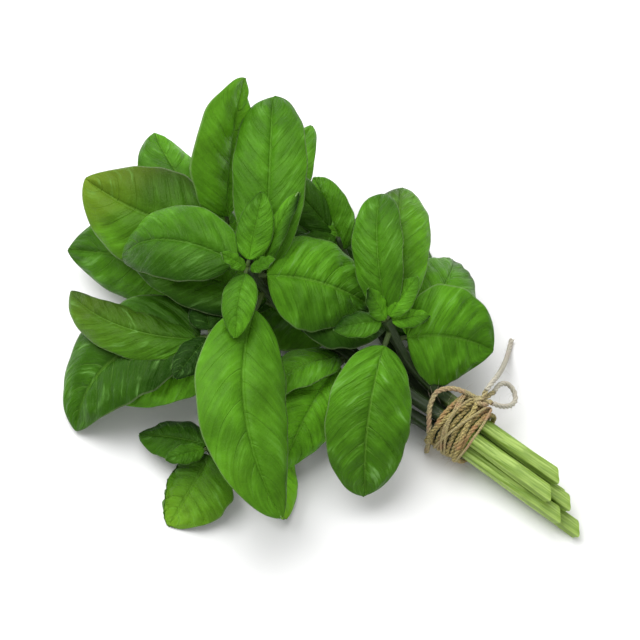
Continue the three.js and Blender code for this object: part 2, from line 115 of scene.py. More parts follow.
SPRIGS = (
    Sprig("sprig_crown", "leaf_bright", (0.5, ROW), (-43, 4.2, 15.9), (95, 17, 62), 10, 62, (
        Leaf(0, 114, 7, 30, 14, 45, 0.66, 0.2, 0.5, cup=53, roll=3, sway=10),
        Leaf(0, -65, 34, 30, 15, 15, 0.63, -0.2, -0.3),
        Leaf(1, 30, 45, 14, 7, 10, 0.58, cup=50),
        Leaf(1, 210, 45, 14, 7, 10, 0.46, cup=50),
        Leaf(3, 6, 15, 66, 33, 80, 0.36, -0.24, cup=50, roll=-11, sway=37),
        Leaf(5, -131, -11, 50, 42, 13, 0.6, 0.16, -0.5, roll=14, sway=-34, pucker=1.8),
        Leaf(8, -75, 43, 39, 9, 42, 0.64, 0.5, -0.4, cup=54, roll=-8, sway=-6),
        Leaf(14, 105, 8, 98, 38, 29, 0.6, -0.14, -0.14, roll=-13, sway=63, pucker=0.8, warmth=0.2),
        Leaf(14, -56, 41, 86, 30, 67, 0.52, cup=45, roll=-1, sway=5, blunt=0.7, pucker=1.2),
        Leaf(26, 17, 15, 66, 30, 40, 0.76, -0.7, 0.35, cup=70, pucker=1.2),
        Leaf(26, -140, 5, 46, 36, 45, 0.38, 0.25, 0.1),
        Leaf(60, 55, 28, 43, 23, 79, 0.7, 0, 0.4, cup=50, roll=25, sway=-2, pucker=2),
        Leaf(59, 92, 8, 55, 31, 49, 1.2, 0, -0.5, cup=75, roll=-23, sway=29, pucker=2),
    )),
    Sprig("sprig_short", "leaf_bright", (-0.5, ROW), (-41, -4, 15.5), (42, -3, 50), 0, 65, (
        Leaf(0, -92, 38, 21, 11, 30, 0.82, 0.25, -0.3),
        Leaf(0, 50, 12, 21, 12, 30, 0.26, 0.2, -0.2),
        Leaf(1, -125, 0, 18, 9, 30, 1.1, 0.7, -0.7),
        Leaf(1, 0, 60, 18, 9, 10, 0.74, -0.45, -0.6),
        Leaf(5, -32, 49, 59, 21, 80, 0.5, 0.1, -0.1, cup=45, roll=-29, sway=-1, blunt=0.8,
             pucker=1.6),
        Leaf(5, 108, -7, 69, 34, 55, 0.52, -0.02, -0.2, cup=50, roll=-9, sway=26, blunt=0.55,
             pucker=2.4, warmth=0.1),
        Leaf(8, -56, 28, 72, 28, 68, 0.52, -0.4, -0.35, cup=70, sway=1, blunt=0.8, pucker=1.6,
             warmth=0.22),
        Leaf(11, -124, -5, 42, 42, 2, 0.66, 0.04, -0.12, cup=50, roll=40, sway=-39, pucker=1.5),
        Leaf(20, -84, 10, 66, 32, 72, 0.8, 0.35, -0.8, cup=59, roll=14, sway=7),
    )),
    Sprig("sprig_front", "leaf_mid", (0, 0), (-50, 0, 9.4), (120, 1, 46), 0, 45, (
        Leaf(0, 70, 50, 16, 8, 20, 0.5),
        Leaf(0, 200, 50, 18, 8, 20, 0.5),
        Leaf(2, -50, 53, 63, 44, 0, 1, -0.25, -0.2, cup=70, roll=60, sway=-32, pucker=1.2,
             warmth=0.25),
        Leaf(14, -4, 13, 72, 37, 17, 0.45, -0.24, 0.35, cup=63, roll=19, sway=-36, pucker=1.4),
        Leaf(3, 31, -2, 66, 45, 12, 0.38, 0.38, -0.26, roll=-22, sway=-34, pucker=0.9, warmth=1),
        Leaf(24, 29, 2, 87, 43, 36, 0.64, 0, -0.4, cup=59, roll=-37, sway=7, pucker=1.4),
        Leaf(24, -58, 16, 74, 26, 40, 0.7, cup=58, roll=-22, sway=-10),
        Leaf(45, 5, -2, 80, 36, 38, 0.18),
    )),
    Sprig("sprig_left", "leaf_mid", (1, 0), (-50, 6.8, 9.6), (96, 40, 40), 35, 40, (
        Leaf(0, 95, 10, 24, 14, 20, 0.03),
        Leaf(0, -42, 5, 20, 15, 20, 0.06),
        Leaf(3, 45, 0, 74, 24, 34, 0.24, 0.22, -0.1, cup=78, roll=-1, sway=-66, pucker=1.8,
             warmth=0.6),
        Leaf(6, 21, -2, 82, 45, 62, 0.23, -0.08, 0.18, cup=40, roll=-4, sway=76, pucker=2),
        Leaf(15, 51, -7, 58, 28, 40, 1.25, -0.1, cup=70, pucker=1.8),
    )),
    Sprig("sprig_left_low", "leaf_bright", (0.5, -ROW), (-58, 4.3, 3), (74, 70, 14), 60, 10, (
        Leaf(0, 60, 20, 18, 9, 20, 0.4, 0, -0.22),
        Leaf(3, 19, -3, 33, 20, 25, 0.21, 0.16, cup=59, roll=6, sway=4, pucker=1.6),
        Leaf(3, 96, -21, 36, 38, 0, 0.66, 0, 0.65, cup=80, roll=26, sway=-2, pucker=1.5,
             warmth=0.75),
        Leaf(25, 143, -4, 38, 19, 12, 2.2, 0, 0.5, cup=69, roll=-11, sway=-4, pucker=1.2,
             warmth=0.7),
    )),
    Sprig("sprig_right", "leaf_dark", (-1, 0), (-38, -6.4, 9.5), (84, -27, 40), -30, 35, (
        Leaf(0, 60, 30, 18, 9, 20, 0.22),
        Leaf(10, -28, 43, 40, 19, 68, 0.69, 0, 0.44, cup=62, roll=-26, sway=20, pucker=2.2),
        Leaf(2, -4, 34, 44, 18, 36, 0.34, 0, 0.34),
        Leaf(18, -66, 0, 42, 28, 50, 0.12),
    )),
    Sprig("sprig_right_low", "leaf_dark", (-0.5, -ROW), (-46, -3.5, 3), (76, -32, 15), -35, 8, (
        Leaf(3, -62, 4, 42, 22, 36, 0.2),
        Leaf(3, -8, 0, 66, 30, 36, 0.2),
        Leaf(15, -84, 3, 44, 28, 40, 0.2),
        Leaf(15, 33, -16, 58, 44, 4, 0.9, -0.2, cup=25),
        Leaf(30, -108, 6, 42, 28, 20, 0.2),
    )),
)

# The outline and section of a leaf, in millimetres or as shares, and the waves in its margin.
PETIOLE_SHARE = 0.11
PETIOLE_FADE = 0.35
PETIOLE_WIDTH = 2.2
PETIOLE_THICKNESS = 1.8
SOLID_THICKNESS = 0.8
BASE_POWER = 0.5
TIP_POWER = 0.7
BLUNT_POWER = 0.4
BLADE_LEAST_WIDTH = 0.9
MIDRIB_FOLD = radians(18)
SCALLOP = 0.014
SCALLOPS = 5
EDGE_RIPPLE = 0.6
RIPPLE_RADIANS = 21
RIPPLE_LAG = 1.3
YOUNG_LENGTH = 32

# The lateral veins: how many cross a half blade, and what share of it they run forward.
VEINS = 7.0
VEIN_SWEEP = 0.25
VEIN_CURVE = 1.35


class Turn(NamedTuple):
    """One turn of the twine: where it lies along the stems, how far it leans to and fro and from
    which angle, and how far it rides up on the turns under it."""

    along: float
    lean: float
    phase: float
    lift: float


TURNS = (
    Turn(-6.0, 0.5, 60, 0),
    Turn(-3.6, 0.6, 60, 0),
    Turn(-1.2, 0.7, 60, 0),
    Turn(1.3, 0.8, 60, 0),
    Turn(3.8, 0.9, 60, 0),
    Turn(6.4, 1.1, 60, 0.2),
    Turn(-1.2, 3.8, 250, 1.8),
    Turn(4.8, 4.2, 110, 1.9),
)

# The section of a stem in the tie, and how far the twine stands off it.
STEM_FLAT = 5.8
STEM_CORNER = 3.0
TWINE_GAP = 0.62

KNOT = (-0.8, -10, 22)
KNOT_RADIUS = 2.3
KNOT_LOOPS = ((40, 0, 0), (80, 70, 0.8))

# The short ends at the knot, the thin stray turns and the loose end over the bundle are parts of
# the tie. The bow loop and the tail are free cords.
STUBS = (
    (KNOT, (-3.2, -11.6, 22.2), (-4.7, -11.9, 22.2)),
    (KNOT, (-1.6, -13.6, 22.4), (-2.2, -16.6, 21.8)),
    (KNOT, (-0.5, -12.2, 24.4), (-0.3, -13.5, 25.4)),
)
WISPS = (
    Turn(-4.0, 4.6, 200, 2.6),
    Turn(0.6, 5.2, 130, 2.9),
    Turn(3.0, 3.6, 300, 2.5),
    Turn(-0.5, 4.4, 20, 3.0),
    Turn(5.2, 2.4, 240, 2.6),
)
LOOSE_END = (
    (1.3, -10, 22), (6, -8, 25), (10.8, -5.4, 26.4), (14.4, -1.2, 25.8), (13.8, 3.9, 24.6),
    (12.2, 7.2, 22.2), (9.8, 10.2, 18.4), (8.2, 12.2, 13), (8, 12.8, 7), (8.6, 12.4, 1.6),
)
BOW_LOOP = (
    (-4.9, -12, 22.2), (-7.1, -14, 19.6), (-8.6, -16.6, 17.1), (-9.4, -19.6, 14.9),
    (-8.9, -22.8, 13.7), (-6.5, -25.3, 14.1), (-3.6, -25.6, 16.1), (-1.9, -23.6, 18.4),
    (-1.6, -20.4, 20.4), (-2.2, -16.8, 21.8),
)
TAIL = (
    (-0.3, -13.7, 25.4), (0, -17.4, 25.2), (0.9, -23, 21.8), (3.7, -31.8, 14), (7.2, -40.6, 6),
    (10, -46.8, 1.7), (11.8, -50.8, 1.2),
)


# -------------------- sizes and colours to change


def number_field(name, description, default, **kind):
    """A number that a user may change. A length is in metres, and an angle in radians."""
    return bpy.props.FloatProperty(name=name, description=description, default=default, **kind)


def colour_field(name, description, *default):
    """A colour that a user may change."""
    return bpy.props.FloatVectorProperty(
        name=name, description=description, subtype="COLOR", size=4, default=(*default, 1.0))


class BasilLeafSettings(bpy.types.PropertyGroup):
    """Sizes and colours of the leaves."""

    thickness: number_field("Thickness", "Thickness of a blade", 0.00055, unit="LENGTH")
    pucker: number_field("Pucker", "Height of a large leaf's swellings", 0.0005, unit="LENGTH")
    groove: number_field("Groove", "Depth of the groove over the midrib", 0.0006, unit="LENGTH")
    dark: colour_field("Dark", "Upper face of a leaf whose tint is 0", 0.003, 0.022, 0.0008)
    bright: colour_field("Bright", "Upper face of a leaf whose tint is 2", 0.193, 0.578, 0.021)
    warm: colour_field("Warm", "Upper face of a leaf that has yellowed", 0.15, 0.24, 0.014)
    vein: colour_field("Veins", "Veins and midrib", 0.13, 0.28, 0.035)
    # Painted highlight: the paler streaks on a leaf's swellings.
    painted_highlight: colour_field("Crests", "Paler streaks on a leaf's swellings", 0.17, 0.36, 0.085)
    # Painted highlight along the thin margin of a leaf.
    rim_highlight: colour_field("Rim", "Thin margin of a leaf", 0.20, 0.28, 0.12)
    underside: colour_field("Underside", "Lower face of a leaf", 0.070, 0.145, 0.032)


class BasilStemSettings(bpy.types.PropertyGroup):
    """Sizes and colours of the stems and petioles."""

    width: number_field("Width", "Width of a stem at its cut end", 0.0065, unit="LENGTH")
    skin: colour_field("Skin", "Skin of a stem", 0.17, 0.28, 0.032)
    streak: colour_field("Streaks", "Paler streaks along a stem", 0.38, 0.53, 0.13)
    pith: colour_field("Pith", "Cut face of a stem", 0.30, 0.42, 0.12)


class BasilTwineSettings(bpy.types.PropertyGroup):
    """Sizes and colours of the twine."""

    diameter: number_field("Diameter", "Thickness of the twine", 0.0022, unit="LENGTH")
    lay: number_field("Lay", "Length of one twist of the strands", 0.0066, unit="LENGTH")
    fibre: colour_field("Fibre", "Lit fibres", 0.67, 0.56, 0.22)
    # Painted shade of the fibres in the hollows.
    shade: colour_field("Shade", "Fibres in the hollows", 0.050, 0.034, 0.006)


class BasilStageSettings(bpy.types.PropertyGroup):
    """The camera's place and the light."""

    azimuth: number_field(
        "Azimuth", "Camera's angle round the bunch", radians(218), subtype="ANGLE")
    elevation: number_field(
        "Elevation", "Camera's angle above the floor", radians(60), subtype="ANGLE")
    distance: number_field("Distance", "Camera's distance from the bunch", 0.9, unit="LENGTH")
    lens: number_field("Lens", "Focal length in millimetres, on a sensor 36 wide", 126.6)
    key: number_field("Key light", "Power of the main soft light in watts", 27.0)
    sky: number_field("Sky", "Strength of the light from all round", 0.60)


SETTINGS = (
    ("basil_leaf", BasilLeafSettings),
    ("basil_stem", BasilStemSettings),
    ("basil_twine", BasilTwineSettings),
    ("basil_stage", BasilStageSettings),
)


# -------------------- lines and sheets


def smoothstep(low, high, value):
    """0 below low, 1 above high, and smooth between them."""
    share = min(max((value - low) / (high - low), 0.0), 1.0)
    return share * share * (3.0 - 2.0 * share)


def direction(heading, rise):
    """The unit vector that points heading degrees round from +X and rise degrees up."""
    h = radians(heading)
    r = radians(rise)
    return Vector((cos(r) * cos(h), cos(r) * sin(h), sin(r)))


class Route:
    """A line through many points, read by the distance along it."""

    REACH = 0.5

    def __init__(self, points):
        self.points = [Vector(point) for point in points]
        self.reached = [0.0]
        for start, stop in zip(self.points, self.points[1:]):
            self.reached.append(self.reached[-1] + (stop - start).length)
        self.length = self.reached[-1]

    def at(self, distance):
        distance = min(max(distance, 0.0), self.length)
        after = min(max(bisect.bisect_right(self.reached, distance), 1), len(self.points) - 1)
        gap = self.reached[after] - self.reached[after - 1]
        share = (distance - self.reached[after - 1]) / gap
        return self.points[after - 1].lerp(self.points[after], share)

    def heading_at(self, distance):
        low = max(distance - self.REACH, 0.0)
        high = min(distance + self.REACH, self.length)
        return (self.at(high) - self.at(low)).normalized()


SMOOTH_STEPS = 14


def smooth_route(points):
    """A smooth Route through a given list of points."""
    knots = [Vector(point) for point in points]
    knots = [2 * knots[0] - knots[1], *knots, 2 * knots[-1] - knots[-2]]
    line = []
    for a, b, c, d in zip(knots, knots[1:], knots[2:], knots[3:]):
        line += interpolate_bezier(b, b + (c - a) / 6, c - (d - b) / 6, c, SMOOTH_STEPS + 1)[:-1]
    line.append(knots[-2])
    return Route(line)


def carried_frames(route, steps):
    """Point, side and top at even steps along a route, turned as little as the bends allow."""
    side = None
    frames = []
    for step in range(steps + 1):
        distance = route.length * step / steps
        tangent = route.heading_at(distance)
        if side is None:
            side = tangent.orthogonal()
        side = (side - tangent * side.dot(tangent)).normalized()
        frames.append((route.at(distance), side.copy(), tangent.cross(side)))
    return frames


CHART = "UVMap"


def add_sheet(bm, columns, rows, place, uv_at, floor=0.0):
    """Adds a grid whose corners go where place(across, along) says, but not below the floor. Both
    numbers run from 0 to 1."""
    uv = bm.loops.layers.uv.get(CHART) or bm.loops.layers.uv.new(CHART)
    verts = bmesh.ops.create_grid(bm, x_segments=columns, y_segments=rows, size=0.5)["verts"]
    spots = {vert: (vert.co.x + 0.5, vert.co.y + 0.5) for vert in verts}
    for face in {face for vert in verts for face in vert.link_faces}:
        for loop in face.loops:
            loop[uv].uv = uv_at(*spots[loop.vert])
    for vert, spot in spots.items():
        vert.co = place(*spot)
        vert.co.z = max(vert.co.z, floor)
    return spots


def add_tube(bm, sides, steps, place, uv_at, floor=0.0, weld=1e-4):
    """Adds a closed tube: a sheet rolled up across, with its seam welded and its ends filled."""
    verts = list(add_sheet(bm, sides, steps, place, uv_at, floor))
    bmesh.ops.remove_doubles(bm, verts=verts, dist=weld)
    verts = [vert for vert in verts if vert.is_valid]
    rims = {edge for vert in verts for edge in vert.link_edges if edge.is_boundary}
    caps = bmesh.ops.holes_fill(bm, edges=list(rims), sides=0)["faces"]
    faces = {face for vert in verts for face in vert.link_faces}
    bmesh.ops.recalc_face_normals(bm, faces=list(faces))
    return caps


def add_object(name, data):
    made = bpy.data.objects.new(name, data)
    bpy.context.scene.collection.objects.link(made)
    return made


def add_mesh(name, bm, materials):
    """Turns a finished bmesh into an object."""
    mesh = bpy.data.meshes.new(name)
    bm.to_mesh(mesh)
    bm.free()
    for material in materials:
        mesh.materials.append(material)
    return add_object(name, mesh)


def make_piece(name, bm, materials, node, slot):
    """Takes a finished bmesh to the frame, as a piece that stands for a node."""
    bmesh.ops.transform(bm, matrix=TO_FRAME, verts=bm.verts)
    piece = add_mesh(name, bm, materials)
    piece.data.shade_smooth()
    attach(piece, "root")
    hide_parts(node)
    return piece


# -------------------- materials
# A scale counts a pattern's features to the metre, or to the unit of the UV map. In a range for
# Shader.between the first two numbers are what it reads, and the next two are what it gives.

GRAIN_PER_VEIN = 1.9
VEIN_EDGES = (0.0, 1.0, 0.455, 0.488)
VEIN_ENDS = (0.70, 1.0, 1.0, 0.0)
MIDRIB_EDGES = (0.012, 0.055, 1.0, 0.0)
NET_EDGES = (0.0, 0.10, 1.0, 0.0)

BLOTCH_SHADES = (0.3, 0.7, 0.72, 1.28)
# Tone along the grain, which is also the height of the swellings: partly the leaf's own tone and
# partly painted light and shade, darker in the troughs and paler on the swellings.
GRAIN_TONE_AND_SHADE = (0.28, 0.72, 0.41, 0.59)
CLOUD_STRETCH = (1.0, 1.0, 0.5)
CLOUD_WARMTH = (0.38, 0.60, 0.35, 1.0)
LATERAL_PAINT = 0.14
MIDRIB_PAINT = 0.16
MIDRIB_UNPAINTED = -0.04
NET_PAINT = 0.03
# The ranges of the grain and of the blotches where the painted highlights lie.
HIGHLIGHT_PAINT = (0.54, 0.74, 0.0, 0.36)
HIGHLIGHT_BLOTCHES = (0.44, 0.60)
# Where the painted highlight along the margin lies, and how strong it is.
RIM_HIGHLIGHT = (0.955, 0.995, 0.0, 0.45)
# The heights of the midrib, the lateral veins, the net and the finest noise, then of the grain.
LAYER_HEIGHTS = (-0.8, -0.6, -0.12, 0.15)
GRAIN_HEIGHT = 0.6
GRAIN_RELIEF = 1.6
LEAF_ROUGHNESS = (0.3, 0.7, 0.32, 0.48)

UNDER_BLOTCHES = (0.3, 0.7, 0.0, 0.35)
UNDER_VEIN = (0.20, 0.33, 0.10, 1.0)
UNDER_VEIN_PAINT = 0.6
UNDER_LATERAL_PAINT = 0.8
UNDER_LATERAL_HEIGHT = 0.9
UNDER_NET_HEIGHT = 0.3

STREAK_STRETCH = (10.0, 0.03)
STREAK_EDGES = (0.38, 0.62)
LINE_PAINT = (0.52, 0.62, 0.0, 0.55)
LINE_GREEN = (0.10, 0.19, 0.02, 1.0)
LINE_DEPTH = -0.6
# Painted shade on the stems among the leaves: the range along a stem's UV map, in millimetres from
# the cut end, and the dark green that it paints.
DEEP_SHADE_PAINT = (43.0, 54.0, 0.0, 0.96)
DEEP_SHADE_GREEN = (0.008, 0.024, 0.003, 1.0)
STEM_ROUGHNESS = (0.3, 0.7, 0.34, 0.46)
PITH_EDGES = (0.35, 0.7)

FIBRE_STRETCH = (7.0, 0.6)
FIBRE_EDGES = (0.38, 0.62)
PATCH_PAINT = (0.48, 0.68, 0.0, 0.65)
PATCH_BROWN = (0.40, 0.18, 0.09, 1.0)
BLEACHED = (0.58, 0.57, 0.52, 1.0)

FLOOR_GREYS = ((0.90, 0.90, 0.90, 1.0), (0.92, 0.92, 0.92, 1.0))


class Shader:
    """Builds the nodes of one material."""

    def __init__(self, name):
        self.material = bpy.data.materials.new(name)
        self.material.use_nodes = True
        self.tree = self.material.node_tree
        self.surface = self.tree.nodes["Principled BSDF"]

    def feed(self, socket, value):
        if isinstance(value, bpy.types.NodeSocket):
            self.tree.links.new(value, socket)
        else:
            socket.default_value = value

    def node(self, kind, inputs, output, **settings):
        """Adds a node of a kind and gives one of its outputs."""
        made = self.tree.nodes.new("ShaderNode" + kind)
        for name, value in settings.items():
            setattr(made, name, value)
        for key, value in inputs.items():
            self.feed(made.inputs[key], value)
        return made.outputs[output]

    def finish(self, **inputs):
        for name, value in inputs.items():
            self.feed(self.surface.inputs[name.replace("_", " ")], value)
        return self.material

    def math(self, operation, *values, clamp=False):
        inputs = dict(enumerate(values))
        return self.node("Math", inputs, 0, operation=operation, use_clamp=clamp)

    def times(self, first, second, clamp=False):
        return self.math("MULTIPLY", first, second, clamp=clamp)

    def times_plus(self, first, second, third, clamp=False):
        return self.math("MULTIPLY_ADD", first, second, third, clamp=clamp)

    def between(self, value, low, high, start=0.0, stop=1.0):
        """Runs smoothly from start to stop as value goes from low to high."""
        inputs = {
            "Value": value, "From Min": low, "From Max": high, "To Min": start, "To Max": stop}
        return self.node("MapRange", inputs, "Result", interpolation_type="SMOOTHSTEP")

    def mix(self, share, first, second):
        """Goes from the first colour to the second."""
        return self.node("Mix", {0: share, 6: first, 7: second}, 2, data_type="RGBA")

    def attribute(self, name):
        return self.node("Attribute", {}, "Fac", attribute_name=name)

    def point(self, x, y, z=0.0):
        return self.node("CombineXYZ", {"X": x, "Y": y, "Z": z}, 0)

    def place(self, scale=(1.0, 1.0, 1.0)):
        """Object coordinates, stretched."""
        spot = self.node("TexCoord", {}, "Object")
        return self.node("Mapping", {"Vector": spot, "Scale": scale}, "Vector")

    def chart(self):
        """The two numbers of the piece's own UV map."""
        uv = self.node("UVMap", {}, "UV", uv_map=CHART)
        return [self.node("SeparateXYZ", {"Vector": uv}, axis) for axis in "XY"]

    def stretched_chart(self, across, along):
        """The UV map as a vector, stretched."""
        x, y = self.chart()
        return self.point(self.times(x, across), self.times(y, along))

    def noise(self, scale, spot=None, detail=3.0, roughness=0.55):
        spot = self.place() if spot is None else spot
        inputs = {"Vector": spot, "Scale": scale, "Detail": detail, "Roughness": roughness}
        return self.node("TexNoise", inputs, "Fac")

    def cracks(self, scale):
        """The distance to the nearest edge of a net of cells."""
        inputs = {"Vector": self.place(), "Scale": scale}
        return self.node("TexVoronoi", inputs, "Distance", feature="DISTANCE_TO_EDGE")

    def bump(self, height, strength, distance):
        inputs = {"Height": height, "Strength": strength, "Distance": distance}
        return self.node("Bump", inputs, "Normal")


def vein_pattern(make):
    """How much of each point of a blade is midrib, lateral vein and fine net, then the grain along
    the lateral veins and the point's share of the way out to the margin."""
    phase, across = make.chart()
    out = make.math("ABSOLUTE", across)
    spot = make.point(make.times(phase, GRAIN_PER_VEIN), across, make.math("SIGN", across))
    grain = make.noise(scale=1.7, spot=spot)
    wave = make.math("ABSOLUTE", make.math("SUBTRACT", make.math("FRACT", phase), 0.5))
    lateral = make.between(wave, make.between(out, *VEIN_EDGES), 0.5)
    lateral = make.times(lateral, make.between(out, *VEIN_ENDS))
    midrib = make.between(out, *MIDRIB_EDGES)
    net = make.between(make.cracks(scale=520.0), *NET_EDGES)
    return midrib, lateral, net, grain, out


def leaf_upper_material(settings):
    """Soft waxy green, with sunk veins, a fine net between them and blotches of darker green, with
    painted light and shade along the grain and painted highlights on the swellings and the margin.
    """
    make = Shader("leaf_upper")
    midrib, lateral, net, grain, out = vein_pattern(make)
    blotch = make.noise(scale=60.0)
    cloud = make.noise(scale=28.0, spot=make.place(CLOUD_STRETCH), detail=1.0)
    fine = make.noise(scale=700.0, detail=2.0)
    relief = make.attribute("relief")
    shade = make.times(make.attribute("tint"), make.between(blotch, *BLOTCH_SHADES))
    # Partly own tone, partly painted light and shade: darker in the troughs of the grain and paler
    # on its swellings.
    tint = make.times(shade, make.between(grain, *GRAIN_TONE_AND_SHADE), clamp=True)
    colour = make.mix(tint, settings.dark, settings.bright)
    warmth = make.times(make.attribute("warmth"), make.between(cloud, *CLOUD_WARMTH))
    colour = make.mix(warmth, colour, settings.warm)
    lines = make.times(lateral, make.times(relief, LATERAL_PAINT))
    middle = make.times_plus(relief, MIDRIB_PAINT, MIDRIB_UNPAINTED, clamp=True)
    lines = make.times_plus(midrib, middle, lines)
    lines = make.times_plus(net, NET_PAINT, lines)
    colour = make.mix(lines, colour, settings.vein)
    # Painted highlight: paler streaks where the grain and the blotches are both high, stronger on
    # puckered leaves.
    painted_highlight = make.times(make.between(grain, *HIGHLIGHT_PAINT), relief, clamp=True)
    painted_highlight = make.times(painted_highlight, make.between(blotch, *HIGHLIGHT_BLOTCHES))
    colour = make.mix(painted_highlight, colour, settings.painted_highlight)
    # Painted highlight along the margin.
    colour = make.mix(make.between(out, *RIM_HIGHLIGHT), colour, settings.rim_highlight)
    height = 0.0
    for layer, share in zip((midrib, lateral, net, fine), LAYER_HEIGHTS):
        height = make.times_plus(layer, share, height)
    swell = make.times_plus(relief, GRAIN_RELIEF, GRAIN_HEIGHT)
    height = make.times_plus(grain, swell, height)
    return make.finish(
        Base_Color=colour,
        Roughness=make.between(grain, *LEAF_ROUGHNESS),
        Specular_IOR_Level=0.13,
        Specular_Tint=(0.75, 1.0, 0.50, 1.0),
        Subsurface_Weight=0.10,
        Subsurface_Radius=(0.6, 1.0, 0.2),
        Subsurface_Scale=0.0006,
        Normal=make.bump(height, strength=0.7, distance=0.0005))


def leaf_under_material(settings):
    """The paler, duller underside, with raised veins."""
    make = Shader("leaf_under")
    midrib, lateral, net, _, _ = vein_pattern(make)
    blotch = make.noise(scale=70.0)
    lines = make.math("ADD", midrib, make.times(lateral, UNDER_LATERAL_PAINT), clamp=True)
    patches = make.between(blotch, *UNDER_BLOTCHES)
    colour = make.mix(patches, settings.underside, settings.vein)
    colour = make.mix(make.times(lines, UNDER_VEIN_PAINT), colour, UNDER_VEIN)
    height = make.times(net, UNDER_NET_HEIGHT)
    height = make.times_plus(lateral, UNDER_LATERAL_HEIGHT, height)
    return make.finish(
        Base_Color=colour,
        Roughness=0.58,
        Specular_IOR_Level=0.2,
        Subsurface_Weight=0.12,
        Subsurface_Radius=(0.6, 1.0, 0.25),
        Subsurface_Scale=0.0007,
        Normal=make.bump(height, strength=0.6, distance=0.0004))


def stem_material(settings):
    """Moist pale green skin with streaks along the stem, and painted shade that darkens it among
    the leaves.
    """
    make = Shader("stem_skin")
    spot = make.stretched_chart(*STREAK_STRETCH)
    streaks = make.noise(scale=1.3, spot=spot)
    lines = make.noise(scale=4.0, spot=spot, detail=2.0)
    colour = make.mix(make.between(streaks, *STREAK_EDGES), settings.skin, settings.streak)
    colour = make.mix(make.between(lines, *LINE_PAINT), colour, LINE_GREEN)
    # Painted shade: darkens the skin from the tie on, where the stems run among the leaves.
    colour = make.mix(make.between(make.chart()[1], *DEEP_SHADE_PAINT), colour, DEEP_SHADE_GREEN)
    height = make.times_plus(lines, LINE_DEPTH, streaks)
    return make.finish(
        Base_Color=colour,
        Roughness=make.between(streaks, *STEM_ROUGHNESS),
        Specular_IOR_Level=0.25,
        Subsurface_Weight=0.2,
        Subsurface_Radius=(0.8, 1.0, 0.3),
        Subsurface_Scale=0.0015,
        Normal=make.bump(height, strength=0.6, distance=0.0006))


def pith_material(settings):
    """The wet cut face of a stem: pale pith, patched with the green of the skin."""
    make = Shader("stem_pith")
    grain = make.noise(scale=1500.0, detail=4.0)
    cells = make.cracks(scale=2200.0)
    return make.finish(
        Base_Color=make.mix(make.between(grain, *PITH_EDGES), settings.pith, settings.skin),
        Roughness=0.45,
        Normal=make.bump(make.math("ADD", grain, cells), strength=0.4, distance=0.0002))


def twine_material(settings):
    """Dry, hairy jute: twisted fibres from pale straw to brown, with painted shade where the fibres
    sink.
    """
    make = Shader("jute")
    spot = make.stretched_chart(*FIBRE_STRETCH)
    fibres = make.noise(scale=2.2, spot=spot, detail=5.0, roughness=0.7)
    patches = make.noise(scale=130.0)
    # Painted shade: the fibres take the dark shade colour where the fibre pattern, which is also
    # their bump, is low.
    colour = make.mix(make.between(fibres, *FIBRE_EDGES), settings.shade, settings.fibre)
    colour = make.mix(make.between(patches, *PATCH_PAINT), colour, PATCH_BROWN)
    colour = make.mix(make.attribute("bleach"), colour, BLEACHED)
    return make.finish(
        Base_Color=colour,
        Roughness=0.9,
        Specular_IOR_Level=0.2,
        Sheen_Weight=0.1,
        Sheen_Roughness=0.5,
        Normal=make.bump(fibres, strength=0.8, distance=0.0003))


def floor_material():
    """A plain pale surface with the faintest unevenness."""
    make = Shader("pale_floor")
    cloud = make.noise(scale=3.0)
    return make.finish(Base_Color=make.mix(cloud, *FLOOR_GREYS), Roughness=0.9)


# -------------------- leaves
# A share across a half blade is 0 at the midrib and 1 at the margin. One along the blade is 0 at
# its base and 1 at its tip.

LEAF_LAYERS = ("tint", "warmth", "relief")
# Columns and rows of faces.
YOUNG_GRID = (16, 24)
BLADE_GRID = (40, 60)
FULL_WIDTH = 38.0
LARGEST_SIZE = 1.1
DROOP_POWER = 1.5
BLADE_ENDS = 0.10
NOISE_SPAN = 50
GROOVE_REACH = 1.1

# The swellings between the lateral veins, and the noise that makes them uneven.
SWELL_POWER = 0.75
SWELL_MIDDLE = 0.45
SWELL_STARTS = (0.02, 0.30)
SWELL_FADES = (0.70, 1.0)
SWELL_LOSS = 0.8
UNEVEN = 1.8
UNEVEN_ACROSS = 1.5
UNEVEN_ALONG = 3.5
UNEVEN_SPOT = 9.0

# The wider lumps that run over the veins. A more puckered leaf has more of them.
LUMP_HEIGHT = 1.0
LUMPS_ACROSS = 3.0
LUMPS_ALONG = 2.5
LUMPS_PUCKERED = 4.0


def stem_route(sprig):
    """The middle of a stem, from its cut end through the tie to its growing tip."""
    across, up = sprig.place
    tie = Vector((0.0, across * STEM_PITCH, BUNDLE_HEIGHT + up * STEM_PITCH))
    end = Vector(sprig.end)
    tip = Vector(sprig.tip)
    chord = (tip - tie).length
    leaving = tie + (tie - end).normalized() * chord * STEM_LEAVING
    arriving = tip - direction(sprig.heading, sprig.rise) * chord * STEM_ARRIVING
    return Route([end, *interpolate_bezier(tie, leaving, arriving, tip, STEM_POINTS)])


def leaf_root(sprig, leaf):
    """Where a leaf grows out of its stem."""
    route = stem_route(sprig)
    return route.at(route.length - leaf.below)


